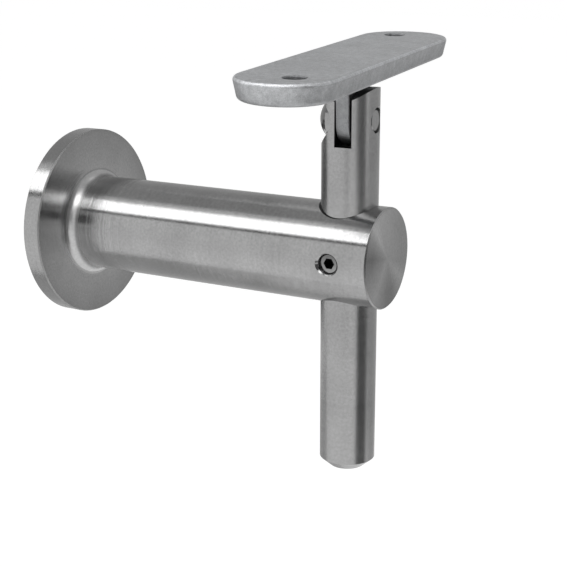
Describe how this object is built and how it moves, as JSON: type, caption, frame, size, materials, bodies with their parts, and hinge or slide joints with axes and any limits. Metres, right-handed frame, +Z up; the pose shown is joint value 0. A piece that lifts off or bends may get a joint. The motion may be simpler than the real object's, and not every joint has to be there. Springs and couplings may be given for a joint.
{
  "type": "handrail bracket",
  "caption": "Wall-fixed handrail bracket: round flange and arm, an upright rod clamped in the arm, and a tilting oblong saddle plate for the rail.",
  "frame": {"origin": "centre of the flange's back face, where the wall stud goes in", "axes": "+X out of the wall along the arm, +Y along the wall to the right of someone who faces it from the front, +Z up along the rod"},
  "size_m": [0.0957, 0.0939, 0.1058],
  "materials": {
    "turned_steel": "satin ground",
    "cast_steel": "matt tumbled",
    "screw_steel": "bright"
  },
  "bodies": {
    "arm": {"wall_arm": "turned_steel", "set_screw": "screw_steel"},
    "rod": {"support_rod": "turned_steel", "pivot_screw": "screw_steel"},
    "saddle": {"saddle": "cast_steel"}
  },
  "joints": [
    {"name": "rod_height", "type": "slide", "parent": "arm", "child": "rod", "axis": [0, 0, 1], "range_m": [-0.014, 0.038]},
    {"name": "saddle_tilt", "type": "hinge", "parent": "rod", "child": "saddle", "pos_m": [0.0818, 0, 0.0332], "axis": [0.9976, 0.0698, 0], "range_deg": [-65, 60]}
  ]
}
